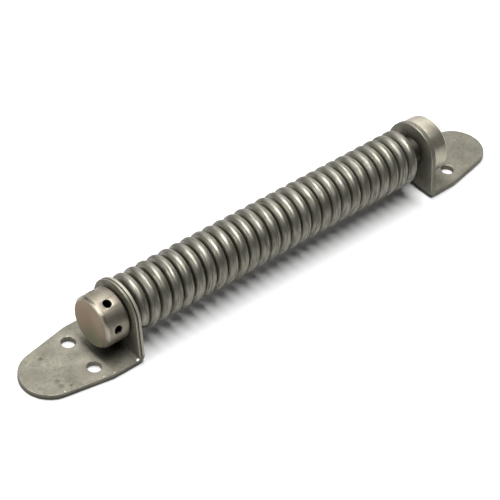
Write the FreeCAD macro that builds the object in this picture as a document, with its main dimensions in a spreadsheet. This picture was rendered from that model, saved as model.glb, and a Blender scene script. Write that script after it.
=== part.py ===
import FreeCAD, Part
import math
import os

import Sketcher
from FreeCAD import Placement, Rotation, Vector

# Gate spring: a torsion spring between two folded brackets, wound up by a drilled collar.
# The spring axis runs along X, both leaves lie on Z = 0, and the part is centred in X and Y.
# The near end, with the collar, is at -X; the far end, with the plain boss, is at +X.

# Driving sizes, in millimetres and degrees
SIZES = {
    "sheet": 2.0,
    "bend_inside": 0.8,
    "ear_span": 127.6,
    "ear_radius": 10.5,
    "leaf_width": 25.4,
    "leaf_reach": 34.2,
    "leaf_straight": 9.9,
    "tip_radius": 9.9,
    "screw_hole": 4.6,
    "screw_inset": 12.7,
    "screw_spacing": 13.0,
    "wire": 4.0,
    "coil_outer": 19.4,
    "coil_space": 0.52,
    "coil_near_clear": 0.5,
    "coil_far_clear": 1.95,
    "wire_end_angle": 170.0,
    "collar_diameter": 17.4,
    "collar_length": 9.15,
    "collar_gap": 0.3,
    "collar_front_chamfer": 0.95,
    "collar_rear_chamfer": 1.0,
    "tommy_diameter": 2.9,
    "tommy_depth": 5.5,
    "tommy_inset": 4.1,
    "tommy_angle": 18.6,
    "tommy_count": 6,
    "boss_diameter": 20.2,
    "boss_length": 6.9,
    "boss_chamfer": 1.0,
    "head_clear": 1.1,
    "grip_clearance": 0.2,
    "shank_grip": 15.0,
    "shank_chamfer": 0.8,
    "shank_wall": 2.5,
    "running_clearance": 0.08,
    "seat_clearance": 0.05,
    "bore_wall": 1.5,
    "boss_wall": 2.9,
    "spindle_play": 0.5,
    "spindle_chamfer": 0.6,
    "trim_margin": 5.0,
}

# Sizes and places that follow from the driving ones; places along X are distances from the middle
FOLLOWING = {
    "bend_outside": "bend_inside + sheet",
    "axis_height": "sheet + head_clear + max(boss_diameter; collar_diameter) / 2",
    "ear_top": "axis_height + ear_radius",
    "ear_face": "ear_span / 2 + sheet",
    "leaf_end": "sheet + leaf_reach",
    "coil_mean": "(coil_outer - wire) / 2",
    "coil_pitch": "wire + coil_space",
    "coil_far_end": "ear_span / 2 - coil_far_clear - wire / 2",
    "coil_near_end": "ear_span / 2 - coil_near_clear - wire / 2",
    "coil_turns": "(coil_far_end + coil_near_end) / coil_pitch",
    "shank_radius": "coil_outer / 2 - wire - grip_clearance",
    "shank_end": "ear_span / 2 - shank_grip",
    "spindle_radius": "shank_radius - shank_wall",
    "collar_rear": "ear_face + collar_gap",
    "collar_front": "collar_rear + collar_length",
    "tommy_place": "collar_front - tommy_inset",
    "bore_end": "tommy_place - tommy_diameter / 2 - bore_wall",
    "boss_end": "ear_face + boss_length",
    "spindle_near": "bore_end - spindle_play",
    "spindle_far": "boss_end - boss_wall",
}

FULL_TURN = 360


def fill_sheet(doc):
    """Write every size into the sheet, one row each, under its own alias."""
    sheet = doc.addObject("Spreadsheet::Sheet", "sizes")
    rows = [(name, str(number)) for name, number in SIZES.items()]
    rows += [(name, "=" + formula) for name, formula in FOLLOWING.items()]
    for row, (name, content) in enumerate(rows, start=1):
        sheet.set(f"A{row}", name)
        sheet.set(f"B{row}", content)
        sheet.setAlias(f"B{row}", name)
    doc.recompute()
    return sheet


# Bodies, sketches and features


def new_body(doc, label):
    """Empty body whose label is also the name of its file."""
    body = doc.addObject("PartDesign::Body", label)
    body.Label = label
    return body


def origin_part(body, role):
    """Plane or axis of the body's own origin."""
    return next(part for part in body.Origin.OriginFeatures if part.Role == role)


def new_sketch(body, name, role):
    """Sketch on one of the body's own origin planes."""
    sketch = body.newObject("Sketcher::SketchObject", name)
    sketch.AttachmentSupport = (origin_part(body, role), [""])
    sketch.MapMode = "FlatFace"
    return sketch


def relate(sketch, kind, *places):
    """Add a relation that has no dimension."""
    sketch.addConstraint(Sketcher.Constraint(kind, *places))


def measure(sketch, name, expression, kind, *places):
    """Add a named dimension and tie it to the sheet."""
    value = sketch.evalExpression(expression)
    index = sketch.addConstraint(Sketcher.Constraint(kind, *places, value))
    sketch.renameConstraint(index, name)
    sketch.setExpression("Constraints." + name, expression)


def polyline(corners):
    """Line segments from each corner to the next."""
    return [Part.LineSegment(start, end) for start, end in zip(corners, corners[1:])]


def arc(centre, radius, start, end):
    """Arc that runs anticlockwise between two angles in radians."""
    return Part.ArcOfCircle(Part.Circle(centre, Vector(0, 0, 1), radius), start, end)


def tangent_angle(centre, radius, corner, side):
    """Angle on a circle where a line from the corner touches it, on the side given by the sign."""
    offset = corner - centre
    return math.atan2(offset.y, offset.x) + side * math.acos(radius / offset.Length)


def cut_through(body, name, sketch):
    """Cut the sketch right through the body, and make sure that it took something away."""
    before = body.Shape.Volume
    pocket = body.newObject("PartDesign::Pocket", name)
    pocket.Profile = sketch
    pocket.Type = "ThroughAll"
    pocket.SideType = "Symmetric"
    body.Document.recompute()
    if body.Shape.Volume >= before:
        raise RuntimeError(f"{body.Label}: {name} cuts nothing")
    return pocket


# Brackets, each folded from a strip: ear on X = 0, leaf along +X


def fold_strip(body):
    """Strip of sheet folded to an L, as wide as the leaf."""
    sketch = new_sketch(body, "fold_profile", "XZ_Plane")
    size = sketch.evalExpression
    thick, inner, outer = size("sizes.sheet"), size("sizes.bend_inside"), size("sizes.bend_outside")
    top, end = size("sizes.ear_top"), size("sizes.leaf_end")
    centre = Vector(outer, outer)
    ear_lines = polyline([Vector(0, outer), Vector(0, top), Vector(thick, top), Vector(thick, outer)])
    leaf_lines = polyline([Vector(outer, thick), Vector(end, thick), Vector(end, 0), Vector(outer, 0)])
    hollow = arc(centre, inner, math.pi, 1.5 * math.pi)
    round_back = arc(centre, outer, math.pi, 1.5 * math.pi)
    sketch.addGeometry(ear_lines + [hollow] + leaf_lines + [round_back])
    for edge in (0, 1, 4, 5):
        relate(sketch, "Coincident", edge, 2, edge + 1, 1)
    relate(sketch, "Tangent", 2, 2, 3, 1)
    relate(sketch, "Tangent", 3, 2, 4, 1)
    relate(sketch, "Tangent", 6, 2, 7, 2)
    relate(sketch, "Tangent", 7, 1, 0, 1)
    relate(sketch, "Coincident", 3, 3, 7, 3)
    for edge in (0, 2, 5):
        relate(sketch, "Vertical", edge)
    for edge in (1, 4, 6):
        relate(sketch, "Horizontal", edge)
    relate(sketch, "PointOnObject", 0, 1, -2)
    relate(sketch, "PointOnObject", 6, 1, -1)
    measure(sketch, "inside", "sizes.bend_inside", "Radius", 3)
    measure(sketch, "outside", "sizes.bend_outside", "Radius", 7)
    measure(sketch, "top", "sizes.ear_top", "DistanceY", -1, 1, 0, 2)
    measure(sketch, "end", "sizes.leaf_end", "DistanceX", -1, 1, 5, 1)
    strip = body.newObject("PartDesign::Pad", "strip")
    strip.Profile = sketch
    strip.SideType = "Symmetric"
    strip.setExpression("Length", "sizes.leaf_width")
    body.Document.recompute()


def trim_ear(body):
    """Cut the ear to its outline: straight sides that close in on a round top about the spring axis."""
    sketch = new_sketch(body, "ear_waste", "YZ_Plane")
    size = sketch.evalExpression
    half, foot, radius = size("sizes.leaf_width") / 2, size("sizes.bend_outside"), size("sizes.ear_radius")
    margin, top = size("sizes.trim_margin"), size("sizes.ear_top")
    centre = Vector(0, size("sizes.axis_height"))
    right, left = Vector(half, foot), Vector(-half, foot)
    touch = tangent_angle(centre, radius, right, 1)
    reach = Vector(radius * math.cos(touch), radius * math.sin(touch))
    sides = [Part.LineSegment(right, centre + reach),
             arc(centre, radius, touch, math.pi - touch),
             Part.LineSegment(centre + Vector(-reach.x, reach.y), left)]
    outside = polyline([left, Vector(-half - margin, foot), Vector(-half - margin, top + margin),
                        Vector(half + margin, top + margin), Vector(half + margin, foot), right])
    sketch.addGeometry(sides + outside)
    relate(sketch, "Tangent", 0, 2, 1, 1)
    relate(sketch, "Tangent", 1, 2, 2, 1)
    for edge in range(2, 8):
        relate(sketch, "Coincident", edge, 2, (edge + 1) % 8, 1)
    for edge in (3, 7):
        relate(sketch, "Horizontal", edge)
    for edge in (4, 6):
        relate(sketch, "Vertical", edge)
    relate(sketch, "PointOnObject", 1, 3, -2)
    relate(sketch, "Symmetric", 2, 2, 0, 1, -2)
    relate(sketch, "Symmetric", 5, 1, 5, 2, -2)
    measure(sketch, "axis", "sizes.axis_height", "DistanceY", -1, 1, 1, 3)
    measure(sketch, "round_top", "sizes.ear_radius", "Radius", 1)
    measure(sketch, "foot", "sizes.bend_outside", "DistanceY", -1, 1, 0, 1)
    measure(sketch, "wide", "sizes.leaf_width", "DistanceX", 2, 2, 0, 1)
    measure(sketch, "beside", "sizes.trim_margin", "DistanceX", 7, 2, 7, 1)
    measure(sketch, "above", "sizes.ear_top + sizes.trim_margin", "DistanceY", -1, 1, 5, 1)
    cut_through(body, "ear_trim", sketch)


def trim_leaf(body):
    """Cut the leaf to its outline: a straight stretch, then tapers that run into a round tip."""
    sketch = new_sketch(body, "leaf_waste", "XY_Plane")
    size = sketch.evalExpression
    half, radius, end = size("sizes.leaf_width") / 2, size("sizes.tip_radius"), size("sizes.leaf_end")
    margin, start = size("sizes.trim_margin"), size("sizes.sheet + sizes.leaf_straight")
    centre = Vector(end - radius, 0)
    upper, lower = Vector(start, half), Vector(start, -half)
    touch = tangent_angle(centre, radius, upper, -1)
    reach = Vector(radius * math.cos(touch), radius * math.sin(touch))
    sides = [Part.LineSegment(upper, centre + reach),
             arc(centre, radius, -touch, touch),
             Part.LineSegment(centre + Vector(reach.x, -reach.y), lower)]
    outside = polyline([lower, Vector(start, -half - margin), Vector(end + margin, -half - margin),
                        Vector(end + margin, half + margin), Vector(start, half + margin), upper])
    sketch.addGeometry(sides + outside)
    relate(sketch, "Tangent", 0, 2, 1, 2)
    relate(sketch, "Tangent", 1, 1, 2, 1)
    for edge in range(2, 8):
        relate(sketch, "Coincident", edge, 2, (edge + 1) % 8, 1)
    for edge in (3, 7):
        relate(sketch, "Vertical", edge)
    for edge in (4, 6):
        relate(sketch, "Horizontal", edge)
    relate(sketch, "PointOnObject", 1, 3, -1)
    relate(sketch, "Symmetric", 2, 2, 0, 1, -1)
    relate(sketch, "Symmetric", 5, 1, 5, 2, -1)
    measure(sketch, "tip", "sizes.leaf_end - sizes.tip_radius", "DistanceX", -1, 1, 1, 3)
    measure(sketch, "round_tip", "sizes.tip_radius", "Radius", 1)
    measure(sketch, "straight", "sizes.sheet + sizes.leaf_straight", "DistanceX", -1, 1, 0, 1)
    measure(sketch, "wide", "sizes.leaf_width", "DistanceY", 2, 2, 0, 1)
    measure(sketch, "beside", "sizes.trim_margin", "DistanceY", 7, 2, 7, 1)
    measure(sketch, "beyond", "sizes.leaf_end + sizes.trim_margin", "DistanceX", -1, 1, 5, 1)
    cut_through(body, "leaf_trim", sketch)


def drill_ear(body, clearance):
    """Hole in the ear for the shank, with the clearance that the named cell gives."""
    sketch = new_sketch(body, "shank_hole", "YZ_Plane")
    size = sketch.evalExpression
    hole = f"sizes.shank_radius + sizes.{clearance}"
    sketch.addGeometry(Part.Circle(Vector(0, size("sizes.axis_height")), Vector(0, 0, 1), size(hole)))
    relate(sketch, "PointOnObject", 0, 3, -2)
    measure(sketch, "axis", "sizes.axis_height", "DistanceY", -1, 1, 0, 3)
    measure(sketch, "hole", hole, "Radius", 0)
    cut_through(body, "shank_pass", sketch)


def drill_leaf(body):
    """Pair of screw holes, side by side across the leaf."""
    sketch = new_sketch(body, "screw_hole", "XY_Plane")
    size = sketch.evalExpression
    inset, aside = size("sizes.sheet + sizes.screw_inset"), size("sizes.screw_spacing / 2")
    sketch.addGeometry(Part.Circle(Vector(inset, aside), Vector(0, 0, 1), size("sizes.screw_hole / 2")))
    measure(sketch, "inset", "sizes.sheet + sizes.screw_inset", "DistanceX", -1, 1, 0, 3)
    measure(sketch, "aside", "sizes.screw_spacing / 2", "DistanceY", -1, 1, 0, 3)
    measure(sketch, "hole", "sizes.screw_hole", "Diameter", 0)
    pocket = cut_through(body, "screw_pass", sketch)
    pair = body.newObject("PartDesign::Mirrored", "screw_pair")
    pair.Originals = [pocket]
    pair.MirrorPlane = (origin_part(body, "XZ_Plane"), [""])
    body.Tip = pair
    body.Document.recompute()


def bracket(doc, label, side, clearance):
    """Bracket with its ear at the end of the spring given by the sign and its leaf pointing outwards."""
    body = new_body(doc, label)
    fold_strip(body)
    trim_ear(body)
    trim_leaf(body)
    drill_ear(body, clearance)
    drill_leaf(body)
    body.Placement = Placement(Vector(), Rotation(Vector(0, 0, 1), 0 if side > 0 else FULL_TURN / 2))
    body.setExpression("Placement.Base.x", f"{side} * sizes.ear_span / 2")
    return body


# Turned pieces, all on the spring axis


def turn(doc, label, corners):
    """Body turned about the spring axis; each corner of its half section is an (along, radius) pair."""
    body = new_body(doc, label)
    sketch = new_sketch(body, "half_section", "XZ_Plane")
    size = sketch.evalExpression
    places = [Vector(size(along), size(radius)) for along, radius in corners]
    sketch.addGeometry(polyline(places + places[:1]))
    for index, (along, radius) in enumerate(corners):
        relate(sketch, "Coincident", index, 2, (index + 1) % len(corners), 1)
        measure(sketch, f"along_{index}", along, "DistanceX", -1, 1, index, 1)
        if radius == "0":
            relate(sketch, "PointOnObject", index, 1, -1)
        else:
            measure(sketch, f"radius_{index}", radius, "DistanceY", -1, 1, index, 1)
    revolution = body.newObject("PartDesign::Revolution", "turning")
    revolution.Profile = sketch
    revolution.ReferenceAxis = (sketch, ["H_Axis"])
    revolution.Angle = FULL_TURN
    body.setExpression("Placement.Base.z", "sizes.axis_height")
    doc.recompute()
    return body


def tension_collar(doc):
    """Head with radial tommy-bar holes, and a shank that carries the near ear and grips the end coils."""
    rim = "sizes.collar_diameter / 2"
    shank = "sizes.shank_radius"
    bore = "sizes.spindle_radius + sizes.running_clearance"
    body = turn(doc, "tension_collar", [
        ("-sizes.collar_front", "0"),
        ("-sizes.collar_front", f"{rim} - sizes.collar_front_chamfer"),
        ("-sizes.collar_front + sizes.collar_front_chamfer", rim),
        ("-sizes.collar_rear - sizes.collar_rear_chamfer", rim),
        ("-sizes.collar_rear", f"{rim} - sizes.collar_rear_chamfer"),
        ("-sizes.collar_rear", shank),
        ("-sizes.shank_end - sizes.shank_chamfer", shank),
        ("-sizes.shank_end", f"{shank} - sizes.shank_chamfer"),
        ("-sizes.shank_end", bore),
        ("-sizes.bore_end", bore),
        ("-sizes.bore_end", "0"),
    ])
    drill_tommy_holes(body)
    body.Placement.Rotation = Rotation(Vector(1, 0, 0), SIZES["tommy_angle"])
    body.setExpression("Placement.Rotation.Angle", "sizes.tommy_angle")
    return body


def drill_tommy_holes(body):
    """Ring of blind holes, drilled from the rim towards the axis."""
    sketch = new_sketch(body, "tommy_spot", "XY_Plane")
    sketch.setExpression("AttachmentOffset.Base.z", "sizes.collar_diameter / 2")
    size = sketch.evalExpression
    spot = Vector(-size("sizes.tommy_place"), 0)
    sketch.addGeometry(Part.Circle(spot, Vector(0, 0, 1), size("sizes.tommy_diameter / 2")))
    relate(sketch, "PointOnObject", 0, 3, -1)
    measure(sketch, "place", "-sizes.tommy_place", "DistanceX", -1, 1, 0, 3)
    measure(sketch, "hole", "sizes.tommy_diameter", "Diameter", 0)
    body.Document.recompute()
    before = body.Shape.Volume
    hole = body.newObject("PartDesign::Hole", "tommy_hole")
    hole.Profile = sketch
    hole.DepthType = "Dimension"
    hole.DrillPoint = "Angled"
    hole.setExpression("Diameter", "sizes.tommy_diameter")
    hole.setExpression("Depth", "sizes.tommy_depth")
    body.Document.recompute()
    if body.Shape.Volume >= before:
        raise RuntimeError("the tommy-bar hole cuts nothing")
    ring = body.newObject("PartDesign::PolarPattern", "tommy_ring")
    ring.Originals = [hole]
    ring.Axis = (origin_part(body, "X_Axis"), [""])
    ring.Angle = FULL_TURN
    ring.setExpression("Occurrences", "sizes.tommy_count")
    body.Tip = ring
    body.Document.recompute()


def fixed_boss(doc):
    """Plain head against the far ear, and a shank fast in the ear that grips the end coils."""
    rim = "sizes.boss_diameter / 2"
    shank = "sizes.shank_radius"
    bore = "sizes.spindle_radius + sizes.seat_clearance"
    return turn(doc, "fixed_boss", [
        ("sizes.boss_end", "0"),
        ("sizes.boss_end", f"{rim} - sizes.boss_chamfer"),
        ("sizes.boss_end - sizes.boss_chamfer", rim),
        ("sizes.ear_face", rim),
        ("sizes.ear_face", shank),
        ("sizes.shank_end + sizes.shank_chamfer", shank),
        ("sizes.shank_end", f"{shank} - sizes.shank_chamfer"),
        ("sizes.shank_end", bore),
        ("sizes.spindle_far", bore),
        ("sizes.spindle_far", "0"),
    ])


def spindle(doc):
    """Plain rod through the coil, fast in the boss and running in the collar."""
    rim = "sizes.spindle_radius"
    return turn(doc, "spindle", [
        ("-sizes.spindle_near", "0"),
        ("-sizes.spindle_near", f"{rim} - sizes.spindle_chamfer"),
        ("-sizes.spindle_near + sizes.spindle_chamfer", rim),
        ("sizes.spindle_far - sizes.spindle_chamfer", rim),
        ("sizes.spindle_far", f"{rim} - sizes.spindle_chamfer"),
        ("sizes.spindle_far", "0"),
    ])


# Spring, wound from half turns that lie in slanted planes and run smoothly into one another


def half_turn(index, share, mean, pitch):
    """Arc of one half turn, or of a share of it, counted from the far end of a left-handed coil."""
    side = 1 if index % 2 == 0 else -1
    middle = Vector(-pitch * (index + 0.5) / 2, 0, 0)
    start = Vector(pitch / 4, 0, side * mean)
    across = Vector(0, -side * start.Length, 0)
    angles = [step * share * math.pi / 2 for step in range(3)]
    points = [middle + start * math.cos(angle) + across * math.sin(angle) for angle in angles]
    return Part.Arc(*points).toShape()


def torsion_spring(doc):
    """Close coil of round wire, left-handed, with both ends cut off plain."""
    path = doc.addObject("Part::Feature", "coil_path")
    size = path.evalExpression
    mean, pitch, halves = size("sizes.coil_mean"), size("sizes.coil_pitch"), 2 * size("sizes.coil_turns")
    shares = [min(1.0, halves - index) for index in range(math.ceil(halves))]
    path.Shape = Part.Wire([half_turn(index, share, mean, pitch) for index, share in enumerate(shares)])
    section = doc.addObject("Part::Circle", "wire_section")
    section.setExpression("Radius", "sizes.wire / 2")
    section.Placement = Placement(Vector(), Rotation(Vector(0, 0, 1), Vector(0, -1, 0)))
    section.setExpression("Placement.Base.z", "sizes.coil_mean")
    spring = doc.addObject("Part::Sweep", "torsion_spring")
    spring.Label = "torsion_spring"
    spring.Sections = [section]
    spring.Spine = (path, [f"Edge{index + 1}" for index in range(len(shares))])
    spring.Solid = True
    spring.Placement.Rotation = Rotation(Vector(1, 0, 0), SIZES["wire_end_angle"])
    spring.setExpression("Placement.Rotation.Angle", "sizes.wire_end_angle")
    spring.setExpression("Placement.Base.x", "sizes.coil_far_end")
    spring.setExpression("Placement.Base.z", "sizes.axis_height")
    doc.recompute()
    return spring


# Whole part


def check(doc, pieces):
    """Stop if any object failed or a piece isn't one sound solid."""
    for item in doc.Objects:
        if "Invalid" in item.State or "Error" in item.State:
            raise RuntimeError(f"{item.Label}: {item.State}")
    for piece in pieces:
        shape = piece.Shape
        if shape.isNull() or not shape.isValid() or len(shape.Solids) != 1:
            raise RuntimeError(f"{piece.Label} isn't one sound solid")


def main():
    """Build every piece, check it and write it to its own file."""
    doc = FreeCAD.newDocument("gate_spring")
    fill_sheet(doc)
    pieces = [
        bracket(doc, "near_bracket", -1, "running_clearance"),
        bracket(doc, "far_bracket", 1, "seat_clearance"),
        tension_collar(doc),
        fixed_boss(doc),
        spindle(doc),
        torsion_spring(doc),
    ]
    doc.recompute()
    check(doc, pieces)
    os.makedirs("parts", exist_ok=True)
    for piece in pieces:
        piece.Shape.exportStep(f"parts/{piece.Label}.step")
        box = piece.Shape.BoundBox
        print(piece.Label, round(piece.Shape.Volume, 1), box)


main()
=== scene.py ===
"""Gate spring of bare steel, dressed in the frame of its solids and lit on a white table."""
import logging
import math
from dataclasses import dataclass, replace
from enum import Enum
from typing import Any

import bmesh
import bpy
from mathutils import Matrix, Vector


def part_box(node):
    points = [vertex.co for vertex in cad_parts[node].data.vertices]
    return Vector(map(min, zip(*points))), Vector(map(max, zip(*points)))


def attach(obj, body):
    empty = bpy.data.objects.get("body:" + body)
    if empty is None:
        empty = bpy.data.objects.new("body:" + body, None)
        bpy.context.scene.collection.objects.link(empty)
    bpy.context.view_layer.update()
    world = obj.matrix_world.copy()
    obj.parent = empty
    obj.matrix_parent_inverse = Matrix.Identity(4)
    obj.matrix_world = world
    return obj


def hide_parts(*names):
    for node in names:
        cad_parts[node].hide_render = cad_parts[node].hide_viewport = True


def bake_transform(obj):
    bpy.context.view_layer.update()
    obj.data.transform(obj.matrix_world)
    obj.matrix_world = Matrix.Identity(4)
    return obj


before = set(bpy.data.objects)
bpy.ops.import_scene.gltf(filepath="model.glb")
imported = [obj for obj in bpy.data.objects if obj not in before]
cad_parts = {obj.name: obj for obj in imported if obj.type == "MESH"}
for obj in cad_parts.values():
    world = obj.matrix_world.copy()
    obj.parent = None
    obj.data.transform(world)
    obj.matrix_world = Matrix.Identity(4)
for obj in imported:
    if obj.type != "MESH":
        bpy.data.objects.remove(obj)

log = logging.getLogger("gate_spring")

Tree = bpy.types.NodeTree
Node = bpy.types.Node
Socket = bpy.types.NodeSocket
Source = Node | Socket
Point = tuple[float, float, float]
Span = tuple[float, float]

MM = 0.001
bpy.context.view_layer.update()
AXIS_HEIGHT = sum(corner.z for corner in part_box("spindle")) / 2
# What the coil's mesh tells its material: the place in the wire's section, and the way along the wire
WIRE_SECTION = "wire_section"
WIRE_RUN = "wire_run"
# Inputs of a Mix node, by number because its numbers and its colours have the same names
SHARE = 0
FIRST_NUMBER, SECOND_NUMBER = 2, 3
FIRST_COLOUR, SECOND_COLOUR = 6, 7
# Values of the noise over which clouds, grain and roughness grow
CLOUD_SPAN = (0.42, 0.68)
GRAIN_SPAN = (0.45, 0.7)
GLOSS_SPAN = (0.3, 0.7)
# How fine the noise is, and the value that it lies round
CLOUD_DETAIL = 4.0
CLOUD_ROUGHNESS = 0.6
GRAIN_DETAIL = 3.0
NOISE_MIDDLE = (0.5, 0.5, 0.5)
# Part of a face's normal along an axis, over which a rim ends, and a slanted edge starts and ends
RIM_END = (0.5, 0.8)
SLANT_START = (0.3, 0.5)
SLANT_END = (0.85, 0.96)


def linear_colour(code: str) -> tuple[float, float, float, float]:
    """Turn an sRGB hex colour into the linear one that shaders work in.

    Args:
        code: Six hex digits, two for each of red, green and blue.

    Returns:
        Linear red, green and blue, and full opacity.
    """
    shares = [int(code[place:place + 2], 16) / 255 for place in (0, 2, 4)]
    # The sRGB curve is straight near black and a power above
    red, green, blue = [s / 12.92 if s <= 0.04045 else ((s + 0.055) / 1.055) ** 2.4 for s in shares]
    return red, green, blue, 1.0


def add_node(tree: Tree, kind: str, inputs: dict[str | int, Any] | None = None, **settings: Any) -> Node:
    """Add a node with its settings, and fill its inputs.

    Args:
        tree: Node tree that gets the node.
        kind: Blender's own name for the kind of node.
        inputs: For each input, by name or number, its value, or the socket or node that feeds it. A node
            feeds it from its first output that is in use.
        settings: Values for the node's own properties.

    Returns:
        The new node.
    """
    node = tree.nodes.new(kind)
    for name, value in settings.items():
        setattr(node, name, value)
    for name, value in (inputs or {}).items():
        if isinstance(value, Node):
            value = next(output for output in value.outputs if output.enabled)
        if isinstance(value, Socket):
            tree.links.new(value, node.inputs[name])
        else:
            node.inputs[name].default_value = value
    return node


def round_axis(tree: Tree, place: Source) -> tuple[Source, Source, Source]:
    """Find where a surface point lies round the spring's axis.

    Args:
        tree: Material's node tree.
        place: Coordinates of the surface point, in metres.

    Returns:
        The place along the axis, the offset across it and the distance from it.
    """
    parts = add_node(tree, "ShaderNodeSeparateXYZ", {0: place}).outputs
    height = add_node(tree, "ShaderNodeMath", {0: parts["Z"], 1: AXIS_HEIGHT}, operation="SUBTRACT")
    across = add_node(tree, "ShaderNodeCombineXYZ", {"Y": parts["Y"], "Z": height})
    radius = add_node(tree, "ShaderNodeVectorMath", {0: across}, operation="LENGTH")
    return parts["X"], across, radius


class Marks(Enum):
    """Marks that the making of a piece left on its surface."""

    TUMBLED = "tumbled"
    TURNED = "turned"
    DRAWN = "drawn"


@dataclass(frozen=True)
class TintPatch:
    """Patch of another tint with a ragged edge, and a roughness of its own if it has one: used for real
    stains and for painted light and shade. Millimetres.
    """

    place: Point
    radius: float
    colour: str
    strength: float = 1.0
    core: float = 0.3
    roughness: float | None = None


@dataclass(frozen=True)
class ShearedEdge:
    """Cut edges: a bright band, partly burnished and partly painted highlight, and a dark line on the ears; a
    lower band on the leaves, partly torn and partly painted shade. Millimetres.
    """

    inner_face: float
    line_depth: float
    line_width: float
    line_colour: str
    burnish_and_highlight_colour: str
    lower_band_height: float
    torn_and_shade_colour: str
    waver: float = 0.3
    leaf_top: float = 2.4
    rim_fade: float = 1.0


@dataclass(frozen=True)
class GapFilmAndLight:
    """Film of dried oil between the turns, a little paler and yellower than the wire so that it also paints
    light into the gaps, by distance from the spring's axis. Millimetres.
    """

    colour: str
    full_below: float
    clean_above: float
    strength: float


@dataclass(frozen=True)
class Layer:
    """Tint that covers the ones below it by a varying share, with its own roughness if it has one."""

    share: Source
    colour: str
    roughness: float | None = None


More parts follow.
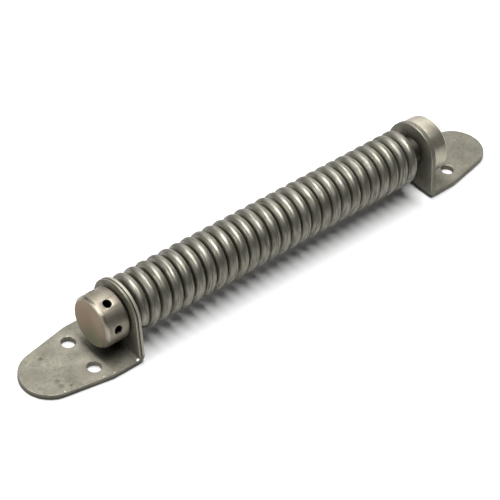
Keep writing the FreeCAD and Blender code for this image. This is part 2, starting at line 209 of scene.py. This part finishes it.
@dataclass(frozen=True)
class SteelFinish:
    """Bare steel: its colour, the clouds in it, the marks of its making and use, and some painted light and
    shade. Millimetres.
    """

    name: str
    marks: Marks
    colour: str
    cloud_colour: str
    grain_colour: str
    grain_share: float
    roughness: float
    roughness_spread: float
    cloud_size: float
    grain_size: float
    grain_height: float
    grain_stretch: float = 1.0
    ragged: float = 0.7
    stains_and_painted_light: tuple[TintPatch, ...] = ()
    cut_edge: ShearedEdge | None = None
    rubbed_and_highlight_colour: str | None = None
    rubbed_roughness: float = 0.3
    lying_below: float = -1.0
    fold_reach: float = 0.69
    gap_film_and_light: GapFilmAndLight | None = None

    def coordinates(self, tree: Tree) -> tuple[Source, Source]:
        """Place each surface point for the clouds, and for the marks of the making.

        Args:
            tree: Material's node tree.

        Returns:
            Coordinates for the clouds and for the grain, both in metres.
        """
        place = add_node(tree, "ShaderNodeTexCoord").outputs["Object"]
        if self.marks is Marks.TUMBLED:
            return place, place
        if self.marks is Marks.DRAWN:
            start = add_node(tree, "ShaderNodeAttribute", attribute_name=WIRE_SECTION).outputs["Vector"]
            run = add_node(tree, "ShaderNodeAttribute", attribute_name=WIRE_RUN).outputs["Fac"]
            short_run = add_node(tree, "ShaderNodeMath", {0: run, 1: self.grain_stretch},
                                 operation="MULTIPLY")
            shift = add_node(tree, "ShaderNodeCombineXYZ", {"Z": short_run})
        else:
            along, across, radius = round_axis(tree, place)
            start = add_node(tree, "ShaderNodeCombineXYZ", {"X": along, "Y": radius})
            shift = add_node(tree, "ShaderNodeVectorMath", {0: across, "Scale": self.grain_stretch},
                             operation="SCALE")
        return place, add_node(tree, "ShaderNodeVectorMath", {0: start, 1: shift})

    def gap_oil_and_light(self, tree: Tree, place: Source) -> Layer:
        """Find where the film of dried oil, which also paints light into the gaps, stays on the flanks of the
        turns.

        Args:
            tree: Material's node tree.
            place: Coordinates of the surface point, in metres.

        Returns:
            Layer of the film.
        """
        gap_look = self.gap_film_and_light
        radius = round_axis(tree, place)[2]
        share = add_node(tree, "ShaderNodeMapRange",
                         {"Value": radius, "From Min": gap_look.full_below * MM,
                          "From Max": gap_look.clean_above * MM, "To Min": gap_look.strength, "To Max": 0.0},
                         interpolation_type="SMOOTHSTEP")
        return Layer(share, gap_look.colour)

    def cut_rims(self, tree: Tree, place: Source, clouds: Source) -> list[Layer]:
        """Find the bands that shearing left on the rims of the ears and the leaves, with painted highlight
        and shade in them.

        Args:
            tree: Material's node tree.
            place: Coordinates of the surface point, in metres.
            clouds: Noise that makes the bands waver.

        Returns:
            Layers of the ears' bright band, partly painted highlight, and dark line, and of the leaves' lower
            band, partly torn and partly painted shade.
        """
        edge = self.cut_edge
        facing = add_node(tree, "ShaderNodeTexCoord").outputs["Normal"]
        normal = add_node(tree, "ShaderNodeSeparateXYZ", {0: facing}).outputs
        parts = add_node(tree, "ShaderNodeSeparateXYZ", {0: place}).outputs
        endward = add_node(tree, "ShaderNodeMath", {0: normal["X"]}, operation="ABSOLUTE")
        ear_side = add_node(tree, "ShaderNodeMapRange",
                            {"Value": endward, "From Min": RIM_END[0], "From Max": RIM_END[1],
                             "To Min": 1.0, "To Max": 0.0})
        ear_rim = add_node(tree, "ShaderNodeMapRange",
                           {"Value": parts["Z"], "From Min": edge.leaf_top * MM,
                            "From Max": (edge.leaf_top + edge.rim_fade) * MM, "To Max": ear_side})
        reach = add_node(tree, "ShaderNodeMath", {0: parts["X"]}, operation="ABSOLUTE")
        depth = add_node(tree, "ShaderNodeMath", {0: clouds, 1: edge.waver * MM, 2: reach},
                         operation="MULTIPLY_ADD")
        line = (edge.inner_face + edge.line_depth + edge.waver / 2) * MM
        bright = add_node(tree, "ShaderNodeMapRange",
                          {"Value": depth, "From Min": line - edge.line_width * MM, "From Max": line,
                           "To Min": ear_rim, "To Max": 0.0})
        near_line = add_node(tree, "ShaderNodeMath", {0: depth, 1: line, 2: edge.line_width * MM},
                             operation="COMPARE")
        dark = add_node(tree, "ShaderNodeMath", {0: near_line, 1: ear_rim}, operation="MULTIPLY")
        upward = add_node(tree, "ShaderNodeMath", {0: normal["Z"]}, operation="ABSOLUTE")
        leaf_side = add_node(tree, "ShaderNodeMapRange",
                             {"Value": upward, "From Min": RIM_END[0], "From Max": RIM_END[1],
                              "To Min": 1.0, "To Max": 0.0})
        torn_and_shade = add_node(tree, "ShaderNodeMapRange",
                        {"Value": parts["Z"], "From Min": edge.lower_band_height * MM,
                         "From Max": (edge.lower_band_height + edge.line_width) * MM,
                         "To Min": leaf_side, "To Max": 0.0})
        return [Layer(bright, edge.burnish_and_highlight_colour), Layer(dark, edge.line_colour),
                Layer(torn_and_shade, edge.torn_and_shade_colour)]

    def rubbed_and_highlit_edges(self, tree: Tree, place: Source) -> Layer:
        """Find the slanted edges between flat faces and their sides, which handling rubs bare and which are
        painted paler as highlights.

        Args:
            tree: Material's node tree.
            place: Coordinates of the surface point, in metres.

        Returns:
            Layer of bare steel and painted highlight, which leaves out the fold of a bracket.
        """
        facing = add_node(tree, "ShaderNodeTexCoord").outputs["Normal"]
        normal = add_node(tree, "ShaderNodeSeparateXYZ", {0: facing}).outputs
        height = add_node(tree, "ShaderNodeSeparateXYZ", {0: place}).outputs["Z"]
        standing = add_node(tree, "ShaderNodeMath", {0: height, 1: self.lying_below * MM},
                            operation="GREATER_THAN")
        faced = add_node(tree, "ShaderNodeMix",
                         {SHARE: standing, FIRST_NUMBER: normal["Z"], SECOND_NUMBER: normal["X"]})
        slope = add_node(tree, "ShaderNodeMath", {0: faced}, operation="ABSOLUTE")
        steep = add_node(tree, "ShaderNodeMapRange",
                         {"Value": slope, "From Min": SLANT_START[0], "From Max": SLANT_START[1]})
        slant = add_node(tree, "ShaderNodeMapRange",
                         {"Value": slope, "From Min": SLANT_END[0], "From Max": SLANT_END[1],
                          "To Min": steep, "To Max": 0.0})
        fold = add_node(tree, "ShaderNodeMath",
                        {0: height, 1: self.lying_below * MM, 2: self.fold_reach * MM}, operation="COMPARE")
        share = add_node(tree, "ShaderNodeMapRange", {"Value": fold, "To Min": slant, "To Max": 0.0})
        return Layer(share, self.rubbed_and_highlight_colour, self.rubbed_roughness)

    def patches(self, tree: Tree, place: Source, clouds: Source) -> list[Layer]:
        """Find where the stains and the patches of painted light and shade lie.

        Args:
            tree: Material's node tree.
            place: Coordinates of the surface point, in metres.
            clouds: Coloured noise that frays the patches' edges.

        Returns:
            One layer for each patch.
        """
        centred = add_node(tree, "ShaderNodeVectorMath", {0: clouds, 1: NOISE_MIDDLE}, operation="SUBTRACT")
        shift = add_node(tree, "ShaderNodeVectorMath", {0: centred, "Scale": 2 * self.ragged * MM},
                         operation="SCALE")
        frayed = add_node(tree, "ShaderNodeVectorMath", {0: place, 1: shift})
        layers = []
        for patch in self.stains_and_painted_light:
            gap = add_node(tree, "ShaderNodeVectorMath", {0: frayed, 1: Vector(patch.place) * MM},
                           operation="DISTANCE")
            share = add_node(tree, "ShaderNodeMapRange",
                             {"Value": gap, "From Min": patch.core * patch.radius * MM,
                              "From Max": patch.radius * MM, "To Min": patch.strength, "To Max": 0.0},
                             interpolation_type="SMOOTHSTEP")
            layers.append(Layer(share, patch.colour, patch.roughness))
        return layers

    def layers(self, tree: Tree, place: Source, cloud: Node, grain: Node) -> list[Layer]:
        """List what lies over the steel's own colour, from the lowest up.

        Args:
            tree: Material's node tree.
            place: Coordinates of the surface point, in metres.
            cloud: Noise of the clouds.
            grain: Noise of the marks of the making.

        Returns:
            Layers of the clouds, the grain, the marks of use, and the painted light and shade.
        """
        cloudy = add_node(tree, "ShaderNodeMapRange",
                          {"Value": cloud, "From Min": CLOUD_SPAN[0], "From Max": CLOUD_SPAN[1]})
        grainy = add_node(tree, "ShaderNodeMapRange",
                          {"Value": grain, "From Min": GRAIN_SPAN[0], "From Max": GRAIN_SPAN[1],
                           "To Max": self.grain_share})
        layers = [Layer(cloudy, self.cloud_colour), Layer(grainy, self.grain_colour)]
        if self.gap_film_and_light:
            layers.append(self.gap_oil_and_light(tree, place))
        if self.cut_edge:
            layers.extend(self.cut_rims(tree, place, cloud))
        if self.rubbed_and_highlight_colour:
            layers.append(self.rubbed_and_highlit_edges(tree, place))
        if self.stains_and_painted_light:
            layers.extend(self.patches(tree, place, cloud.outputs["Color"]))
        return layers

    def material(self) -> bpy.types.Material:
        """Build the finish as a material.

        Returns:
            Material named for the steel and its finish.
        """
        material = bpy.data.materials.new(self.name)
        material.use_nodes = True
        tree = material.node_tree
        tree.nodes.clear()
        place, grain_place = self.coordinates(tree)
        cloud = add_node(tree, "ShaderNodeTexNoise",
                         {"Vector": place, "Scale": 1 / (self.cloud_size * MM), "Detail": CLOUD_DETAIL,
                          "Roughness": CLOUD_ROUGHNESS})
        grain = add_node(tree, "ShaderNodeTexNoise",
                         {"Vector": grain_place, "Scale": 1 / (self.grain_size * MM), "Detail": GRAIN_DETAIL})
        tint = linear_colour(self.colour)
        gloss = add_node(tree, "ShaderNodeMapRange",
                         {"Value": grain, "From Min": GLOSS_SPAN[0], "From Max": GLOSS_SPAN[1],
                          "To Min": self.roughness - self.roughness_spread,
                          "To Max": self.roughness + self.roughness_spread})
        for layer in self.layers(tree, place, cloud, grain):
            tint = add_node(tree, "ShaderNodeMix",
                            {SHARE: layer.share, FIRST_COLOUR: tint,
                             SECOND_COLOUR: linear_colour(layer.colour)}, data_type="RGBA")
            if layer.roughness is not None:
                gloss = add_node(tree, "ShaderNodeMix",
                                 {SHARE: layer.share, FIRST_NUMBER: gloss, SECOND_NUMBER: layer.roughness})
        bump = add_node(tree, "ShaderNodeBump",
                        {"Height": grain, "Distance": self.grain_height * MM, "Strength": 1.0})
        shader = add_node(tree, "ShaderNodeBsdfPrincipled",
                          {"Base Color": tint, "Metallic": 1.0, "Roughness": gloss, "Normal": bump})
        add_node(tree, "ShaderNodeOutputMaterial", {"Surface": shader})
        return material


# Where the marks lie, in millimetres: the axis, the near ear's inner face, the collar's sawn end and holes
AXIS = AXIS_HEIGHT / MM
EAR_FACE = -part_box("near_bracket")[1].x / MM
SAWN_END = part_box("tension_collar")[0].x / MM
HOLE_RING = -71.15
HOLE_COUNT = 6
FIRST_HOLE = math.radians(18.6)
HOLE_OFFSET = 5.2

# On the near leaf: a darker tip; paler rings, partly rubbed by screw heads and partly painted light where the
# collar shades the leaf; dull spots; bright nicks; and a painted highlight on the corner of the fold
LEAF_MARKS_AND_LIGHT = (
    TintPatch((-96.5, 0.5, 2.0), 9.5, "66635A", 0.7, 0.1),
    # Paler rings: partly rubbed by screw heads, partly painted light where the collar shades the leaf
    TintPatch((-78.5, 6.5, 2.0), 6.0, "8B877B", 0.45, 0.45),
    TintPatch((-79.5, -6.0, 2.0), 7.5, "8E8A7E", 0.7, 0.45),
    TintPatch((-89.4, 5.9, 2.0), 1.0, "45433A", 0.7),
    TintPatch((-87.4, 7.2, 2.0), 1.7, "64614F", 0.45),
    TintPatch((-91.0, -4.6, 2.0), 1.4, "4E4C40", 0.6),
    TintPatch((-91.2, -6.7, 2.0), 1.3, "4A483E", 0.6),
    TintPatch((-88.6, -8.3, 2.0), 0.7, "403E36", 0.7),
    TintPatch((-91.7, -9.1, 2.0), 0.32, "BDBAB0"),
    TintPatch((-78.9, -11.4, 2.0), 0.32, "BDBAB0"),
    TintPatch((-75.3, -12.0, 2.0), 0.45, "B4B1A6", 0.8),
    # Painted highlight on the corner of the fold
    TintPatch((-66.3, -12.4, 2.3), 0.7, "F0EDE4"),
)
# Matt bloom on the collar's sawn end, brown, pale and greenish by turns, and painted shade low on its side
BLOOM_AND_SIDE_SHADE = (
    TintPatch((SAWN_END, 0.0, AXIS), 8.4, "9B8D7B", 0.8, 0.86, roughness=0.85),
    TintPatch((SAWN_END, 1.5, 14.0), 7.0, "98806A", 0.5),
    TintPatch((SAWN_END, -3.0, 16.5), 4.0, "A3947F", 0.6),
    TintPatch((SAWN_END, -1.5, 7.0), 7.0, "84846E", 0.9),
    # Painted shade on the lower front of the collar's side
    TintPatch((-72.5, -7.9, 9.6), 5.5, "5C574C", 0.65),
)
# Painted shade that blackens the tommy-bar holes
HOLE_SHADE = tuple(
    TintPatch((HOLE_RING, -HOLE_OFFSET * math.sin(turn), AXIS + HOLE_OFFSET * math.cos(turn)),
          3.2, "14130F", 1.0, 0.8)
    for turn in (FIRST_HOLE + math.tau * hole / HOLE_COUNT for hole in range(HOLE_COUNT))
)
# Painted shade in the fold under the collar
FOLD_SHADE = TintPatch((-70.0, -3.0, 5.0), 9.0, "2E2C26", 0.75)
# Painted shade on the boss's shank behind the last turn, and on the boss's lower side
BOSS_SHADE = (
    TintPatch((61.5, 0.0, AXIS), 8.5, "2E2C26", 0.85, 0.75),
    TintPatch((69.5, -7.5, 5.5), 8.5, "7D786B", 0.8, 0.5),
)
# Rims of the near bracket as the punch left them, with painted highlight in the bright band and painted shade
# in the torn lower band
PUNCHED_RIM_AND_LIGHT = ShearedEdge(inner_face=EAR_FACE, line_depth=1.15, line_width=0.2, line_colour="25241F",
                          burnish_and_highlight_colour="A29E92", lower_band_height=0.95, torn_and_shade_colour="4E4C43")
# Yellowish film of dried oil and dust between the turns, a little paler than the wire, which also paints
# light into the gaps
GAP_OIL_AND_LIGHT = GapFilmAndLight(colour="8A836A", full_below=7.9, clean_above=8.9, strength=0.5)

# Cold-rolled sheet, stamped, folded and tumbled: a dull warm grey, cloudy, with fine dents all over
TUMBLED_SHEET = SteelFinish(
    name="tumbled_sheet_steel", marks=Marks.TUMBLED,
    colour="7A776C", cloud_colour="6A685F", grain_colour="5E5B4F", grain_share=0.4,
    roughness=0.65, roughness_spread=0.05, cloud_size=7.0, grain_size=0.8, grain_height=0.004,
    # Slanted edges paler: partly rubbed bare, partly painted highlight
    stains_and_painted_light=(FOLD_SHADE, *LEAF_MARKS_AND_LIGHT), cut_edge=PUNCHED_RIM_AND_LIGHT, rubbed_and_highlight_colour="A09C90", lying_below=2.7)
# The same sheet with its rims tumbled smooth, no stains or sheared bands, and its slanted edges paler: partly
# rubbed, partly painted highlight
SMOOTH_SHEET = replace(TUMBLED_SHEET, name="smooth_sheet_steel", stains_and_painted_light=(), cut_edge=None,
                       rubbed_and_highlight_colour="8E8A7E")
# Bar steel turned on a lathe, then tumbled: satin, with faint rings, drawn coarse enough to show
TURNED_BAR = SteelFinish(
    name="turned_bar_steel", marks=Marks.TURNED,
    colour="857F73", cloud_colour="797366", grain_colour="665F54", grain_share=0.4,
    roughness=0.48, roughness_spread=0.07, cloud_size=6.0,
    grain_size=0.35, grain_height=0.003, grain_stretch=0.06,
    # Chamfers paler: partly rubbed bare, partly painted highlight
    stains_and_painted_light=(*BLOOM_AND_SIDE_SHADE, *HOLE_SHADE), rubbed_and_highlight_colour="908B7E")
# The same bar for the boss, painted paler to stand for the light on it, and without bloom or paler edges
LIT_BOSS_BAR = replace(
    TURNED_BAR, name="turned_steel_painted_lit", colour="ABA697", cloud_colour="9E998A", grain_colour="857F72",
    roughness=0.46, roughness_spread=0.06, stains_and_painted_light=BOSS_SHADE, rubbed_and_highlight_colour=None)
# Cold-drawn spring wire: grey, of uneven gloss, with dark streaks along it, drawn coarse enough to show
DRAWN_WIRE = SteelFinish(
    name="drawn_spring_wire", marks=Marks.DRAWN,
    colour="838178", cloud_colour="757367", grain_colour="45433C", grain_share=0.75,
    roughness=0.49, roughness_spread=0.14, cloud_size=5.0,
    grain_size=0.4, grain_height=0.02, grain_stretch=0.12,
    gap_film_and_light=GAP_OIL_AND_LIGHT)
# Drawn round rod, cleaned up on a lathe: paler than the wire, with faint rings
DRAWN_ROD = SteelFinish(
    name="drawn_rod_steel", marks=Marks.TURNED,
    colour="A09D92", cloud_colour="8C897F", grain_colour="77746B", grain_share=0.4,
    roughness=0.45, roughness_spread=0.05, cloud_size=6.0,
    grain_size=0.4, grain_height=0.003, grain_stretch=0.06)


class Body(Enum):
    """Rigid bodies of the part, by their names in the frame."""

    FIXED_END = "fixed_end"
    WINDING_COLLAR = "winding_collar"
    SWIVEL_BRACKET = "swivel_bracket"


def hand_over(piece: bpy.types.Object, node: str, finish: SteelFinish) -> None:
    """Show a piece in place of the solid that it stands for.

    Args:
        piece: Finished mesh object.
        node: Name of the solid.
        finish: Finish that the piece has.
    """
    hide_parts(node)
    log.info("%s: %d faces, %s", piece.name, len(piece.data.polygons), finish.name)


def show(name: str, mesh: bpy.types.Mesh) -> bpy.types.Object:
    """Put a mesh into the scene.

    Args:
        name: Name of the new object.
        mesh: Mesh to show.

    Returns:
        Object at the origin.
    """
    piece = bpy.data.objects.new(name, mesh)
    bpy.context.scene.collection.objects.link(piece)
    return piece


@dataclass
class EdgeBrokenPiece:
    """Rigid piece with the form of its solid and the rounded edges that tumbling leaves. Metres."""

    node: str
    body: Body
    finish: SteelFinish
    edge_break: float
    edge_steps: int = 3
    sharp_angle: float = math.radians(32)
    flat_angle: float = math.radians(0.5)
    merge_distance: float = 0.002 * MM

    def build(self) -> bpy.types.Object:
        """Make the piece from a merged copy of its solid, with its sharp edges rounded.

        Returns:
            Piece as a mesh object with a bevel.
        """
        shape = bmesh.new()
        shape.from_mesh(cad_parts[self.node].data)
        bmesh.ops.remove_doubles(shape, verts=shape.verts, dist=self.merge_distance)
        bmesh.ops.dissolve_limit(shape, angle_limit=self.flat_angle, verts=shape.verts, edges=shape.edges)
        for face in shape.faces:
            face.smooth = True
        mesh = bpy.data.meshes.new(f"{self.node}_dressed")
        shape.to_mesh(mesh)
        shape.free()
        piece = show(f"{self.node}_dressed", mesh)
        bevel = piece.modifiers.new("edge_break", "BEVEL")
        bevel.width = self.edge_break
        bevel.segments = self.edge_steps
        bevel.limit_method = "ANGLE"
        bevel.angle_limit = self.sharp_angle
        bevel.harden_normals = True
        bevel.use_clamp_overlap = True
        return piece

    def dress(self, piece: bpy.types.Object) -> None:
        """Give the piece its finish, and let it ride on its body in place of its solid.

        Args:
            piece: Piece as it was built.
        """
        piece.data.materials.clear()
        piece.data.materials.append(self.finish.material())
        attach(piece, self.body.value)
        hand_over(piece, self.node, self.finish)


@dataclass
class CoilSpring:
    """Left-handed coil of round wire from the boss to the collar, with both ends cut off plain. Metres."""

    node: str = "torsion_spring"
    finish: SteelFinish = DRAWN_WIRE
    wire: float = 4.0 * MM
    pitch: float = 4.52 * MM
    mean_radius: float = 7.7 * MM
    far_end: float = 59.85 * MM
    near_end: float = -61.3 * MM
    end_angle: float = math.radians(170)
    steps_per_turn: int = 64
    sides: int = 20

    def sizes(self) -> dict[str, tuple[str, float]]:
        """List the inputs of the coil's tree.

        Returns:
            For each input's name, its kind of socket and its value.
        """
        turns = (self.far_end - self.near_end) / self.pitch
        return {
            "Wire Radius": ("NodeSocketFloat", self.wire / 2),
            "Mean Radius": ("NodeSocketFloat", self.mean_radius),
            "Far End": ("NodeSocketFloat", self.far_end),
            "Near End": ("NodeSocketFloat", self.near_end),
            "Axis Height": ("NodeSocketFloat", AXIS_HEIGHT),
            "Far Angle": ("NodeSocketFloat", self.end_angle),
            "Near Angle": ("NodeSocketFloat", self.end_angle + turns * math.tau),
            "Steps": ("NodeSocketInt", math.ceil(turns * self.steps_per_turn)),
            "Sides": ("NodeSocketInt", self.sides),
        }

    def helix(self, tree: Tree, size: bpy.types.bpy_prop_collection) -> Node:
        """Wind a line round the spring's axis.

        Args:
            tree: Coil's geometry tree.
            size: Sockets with the coil's sizes, by name.

        Returns:
            Node with the curve, whose points know their way along the wire.
        """
        line = add_node(tree, "GeometryNodeCurvePrimitiveLine")
        path = add_node(tree, "GeometryNodeResampleCurve", {"Curve": line, "Count": size["Steps"]})
        share = add_node(tree, "GeometryNodeSplineParameter").outputs["Factor"]
        along = add_node(tree, "ShaderNodeMapRange",
                         {"Value": share, "To Min": size["Far End"], "To Max": size["Near End"]})
        angle = add_node(tree, "ShaderNodeMapRange",
                         {"Value": share, "To Min": size["Far Angle"], "To Max": size["Near Angle"]})
        sine = add_node(tree, "ShaderNodeMath", {0: angle}, operation="SINE")
        cosine = add_node(tree, "ShaderNodeMath", {0: angle}, operation="COSINE")
        inward = add_node(tree, "ShaderNodeMath", {0: size["Mean Radius"], 1: -1.0}, operation="MULTIPLY")
        across = add_node(tree, "ShaderNodeMath", {0: sine, 1: inward}, operation="MULTIPLY")
        up = add_node(tree, "ShaderNodeMath", {0: cosine, 1: size["Mean Radius"], 2: size["Axis Height"]},
                      operation="MULTIPLY_ADD")
        place = add_node(tree, "ShaderNodeCombineXYZ", {"X": along, "Y": across, "Z": up})
        wound = add_node(tree, "GeometryNodeSetPosition", {"Geometry": path, "Position": place})
        run = add_node(tree, "GeometryNodeSplineParameter").outputs["Length"]
        return add_node(tree, "GeometryNodeStoreNamedAttribute",
                        {"Geometry": wound, "Name": WIRE_RUN, "Value": run}, data_type="FLOAT")

    def section(self, tree: Tree, size: bpy.types.bpy_prop_collection) -> Node:
        """Draw the round section of the wire.

        Args:
            tree: Coil's geometry tree.
            size: Sockets with the coil's sizes, by name.

        Returns:
            Node with the circle, whose points know their place in it.
        """
        circle = add_node(tree, "GeometryNodeCurvePrimitiveCircle",
                          {"Resolution": size["Sides"], "Radius": size["Wire Radius"]})
        place = add_node(tree, "GeometryNodeInputPosition")
        return add_node(tree, "GeometryNodeStoreNamedAttribute",
                        {"Geometry": circle, "Name": WIRE_SECTION, "Value": place}, data_type="FLOAT_VECTOR")

    def tree(self, material: bpy.types.Material) -> Tree:
        """Build the tree that draws the wire along its helix.

        Args:
            material: Finish of the wire.

        Returns:
            Geometry tree with one named input for each size.
        """
        tree = bpy.data.node_groups.new("wound_wire", "GeometryNodeTree")
        for name, (kind, _) in self.sizes().items():
            tree.interface.new_socket(name, in_out="INPUT", socket_type=kind)
        tree.interface.new_socket("Geometry", in_out="OUTPUT", socket_type="NodeSocketGeometry")
        size = add_node(tree, "NodeGroupInput").outputs
        wire = add_node(tree, "GeometryNodeCurveToMesh",
                        {"Curve": self.helix(tree, size), "Profile Curve": self.section(tree, size),
                         "Fill Caps": True})
        real = add_node(tree, "GeometryNodeRealizeInstances", {"Geometry": wire})
        dressed = add_node(tree, "GeometryNodeSetMaterial", {"Geometry": real, "Material": material})
        add_node(tree, "NodeGroupOutput", {"Geometry": dressed})
        return tree

    def build(self) -> bpy.types.Object:
        """Wind the wire and turn the result into a plain mesh.

        Returns:
            Coil as a mesh object at the origin.
        """
        tree = self.tree(self.finish.material())
        former = show("coil_former", bpy.data.meshes.new("coil_former"))
        modifier = former.modifiers.new("wound_wire", "NODES")
        modifier.node_group = tree
        sizes = self.sizes()
        for item in tree.interface.items_tree:
            if item.in_out == "INPUT":
                modifier[item.identifier] = sizes[item.name][1]
        wound = former.evaluated_get(bpy.context.evaluated_depsgraph_get())
        mesh = bpy.data.meshes.new_from_object(wound)
        bpy.data.objects.remove(former)
        piece = show(f"{self.node}_dressed", mesh)
        is_side = [len(face.vertices) < self.sides for face in mesh.polygons]
        mesh.polygons.foreach_set("use_smooth", is_side)
        return piece

    def dress(self, piece: bpy.types.Object) -> None:
        """Bake the coil's place into its mesh and show it in place of its solid.

        Args:
            piece: Coil as it was built.
        """
        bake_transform(piece)
        hand_over(piece, self.node, self.finish)


@dataclass
class HiddenRod:
    """Rod inside the coil: its solid has the right form, so it stays and only gets its finish."""

    node: str = "spindle"
    finish: SteelFinish = DRAWN_ROD

    def dress(self) -> None:
        """Give the rod its finish."""
        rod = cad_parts[self.node]
        rod.data.materials.clear()
        rod.data.materials.append(self.finish.material())
        log.info("%s: kept from the solids, %s", self.node, self.finish.name)


@dataclass(frozen=True)
class SoftLight:
    """Oval light that faces the part, sized along the spring's axis and across it. Metres and watts."""

    name: str
    place: Point
    along_axis: float
    across_axis: float
    power: float

    def hang(self) -> None:
        """Hang the light in its place."""
        data = bpy.data.lights.new(self.name, "AREA")
        data.shape = "ELLIPSE"
        data.size = self.along_axis
        data.size_y = self.across_axis
        data.energy = self.power
        across = Vector((0.0, 1.0, 0.0))
        away = Vector(self.place).normalized()
        along = across.cross(away).normalized()
        light = bpy.data.objects.new(self.name, data)
        light.location = self.place
        light.rotation_mode = "QUATERNION"
        light.rotation_quaternion = Matrix((along, away.cross(along), away)).transposed().to_quaternion()
        bpy.context.scene.collection.objects.link(light)


@dataclass
class Studio:
    """White table under a narrow light and three weaker ones, in a room pale behind and above. Metres."""

    table_colour: str = "CDCDCD"
    table_size: float = 6.0
    table_roughness: float = 0.8
    room_front: float = 0.02
    room_back: float = 0.8
    pale_heights: Span = (0.1, 0.45)
    pale_depths: Span = (-0.2, 0.5)
    lights: tuple[SoftLight, ...] = (
        SoftLight("overhead_light", (-0.02, 0.03, 0.9), along_axis=0.22, across_axis=0.95, power=15.5),
        SoftLight("back_light", (0.6, 0.75, 0.6), along_axis=1.1, across_axis=1.1, power=4.0),
        SoftLight("side_light", (-0.93, 0.14, 0.52), along_axis=0.4, across_axis=0.7, power=4.4),
        SoftLight("fill_light", (1.1, 0.25, 0.3), along_axis=0.7, across_axis=0.7, power=3.4),
    )

    def build(self) -> None:
        """Lay the table, hang the lights and fill the room."""
        self.lay_table()
        for light in self.lights:
            light.hang()
        self.fill_room()

    def lay_table(self) -> None:
        """Lay a plain white table under the part."""
        shape = bmesh.new()
        bmesh.ops.create_grid(shape, size=self.table_size / 2)
        mesh = bpy.data.meshes.new("table")
        shape.to_mesh(mesh)
        shape.free()
        material = bpy.data.materials.new("white_table")
        material.use_nodes = True
        shader = material.node_tree.nodes["Principled BSDF"]
        shader.inputs["Base Color"].default_value = linear_colour(self.table_colour)
        shader.inputs["Roughness"].default_value = self.table_roughness
        shader.inputs["Specular IOR Level"].default_value = 0.0
        mesh.materials.append(material)
        show("table", mesh)

    def fill_room(self) -> None:
        """Fill the room with light that grows from the dark front to the pale back wall."""
        world = bpy.data.worlds.new("studio_room")
        world.use_nodes = True
        tree = world.node_tree
        tree.nodes.clear()
        direction = add_node(tree, "ShaderNodeTexCoord").outputs["Generated"]
        parts = add_node(tree, "ShaderNodeSeparateXYZ", {0: direction}).outputs
        rise = add_node(tree, "ShaderNodeMapRange",
                        {"Value": parts["Z"], "From Min": self.pale_heights[0],
                         "From Max": self.pale_heights[1], "To Min": self.room_front,
                         "To Max": self.room_back}, interpolation_type="SMOOTHSTEP")
        glow = add_node(tree, "ShaderNodeMapRange",
                        {"Value": parts["Y"], "From Min": self.pale_depths[0],
                         "From Max": self.pale_depths[1], "To Min": self.room_front, "To Max": rise},
                        interpolation_type="SMOOTHSTEP")
        background = add_node(tree, "ShaderNodeBackground", {"Color": (1.0, 1.0, 1.0, 1.0), "Strength": glow})
        add_node(tree, "ShaderNodeOutputWorld", {"Surface": background})
        bpy.context.scene.world = world
        bpy.context.scene.view_settings.view_transform = "Standard"


@dataclass
class PhotoCamera:
    """Camera where the photo was taken from, with a square frame. Metres, and millimetres for the sensor."""

    turn: float = math.radians(45.8)
    tilt: float = math.radians(42.2)
    roll: float = math.radians(5.99)
    distance: float = 531.57 * MM
    target: Point = (-13.56 * MM, -3.59 * MM, 12.0 * MM)
    frame_pixels: float = 500.0
    focal_pixels: float = 1658.81
    sensor: float = 36.0

    def build(self) -> None:
        """Make the camera and look through it."""
        back = Vector((-math.cos(self.tilt) * math.sin(self.turn),
                       -math.cos(self.tilt) * math.cos(self.turn),
                       math.sin(self.tilt)))
        level_right = Vector((math.cos(self.turn), -math.sin(self.turn), 0))
        level_up = back.cross(level_right)
        right = math.cos(self.roll) * level_right + math.sin(self.roll) * level_up
        up = back.cross(right)
        data = bpy.data.cameras.new("photo_camera")
        data.sensor_width = self.sensor
        data.lens = self.focal_pixels / self.frame_pixels * self.sensor
        data.clip_start = MM
        camera = bpy.data.objects.new("photo_camera", data)
        turned = Matrix((right, up, back)).transposed().to_4x4()
        camera.matrix_world = Matrix.Translation(Vector(self.target) + self.distance * back) @ turned
        bpy.context.scene.collection.objects.link(camera)
        bpy.context.scene.camera = camera


def main() -> None:
    """Dress the part piece by piece, then light it and place the camera."""
    logging.basicConfig(level=logging.INFO, format="%(name)s: %(message)s")
    pieces = [
        EdgeBrokenPiece("near_bracket", Body.SWIVEL_BRACKET, TUMBLED_SHEET, edge_break=0.35 * MM),
        EdgeBrokenPiece("far_bracket", Body.FIXED_END, SMOOTH_SHEET, edge_break=0.35 * MM),
        EdgeBrokenPiece("tension_collar", Body.WINDING_COLLAR, TURNED_BAR, edge_break=0.12 * MM),
        EdgeBrokenPiece("fixed_boss", Body.FIXED_END, LIT_BOSS_BAR, edge_break=0.15 * MM),
        CoilSpring(),
    ]
    for piece in pieces:
        piece.dress(piece.build())
    HiddenRod().dress()
    Studio().build()
    PhotoCamera().build()


if __name__ == "__main__":
    main()
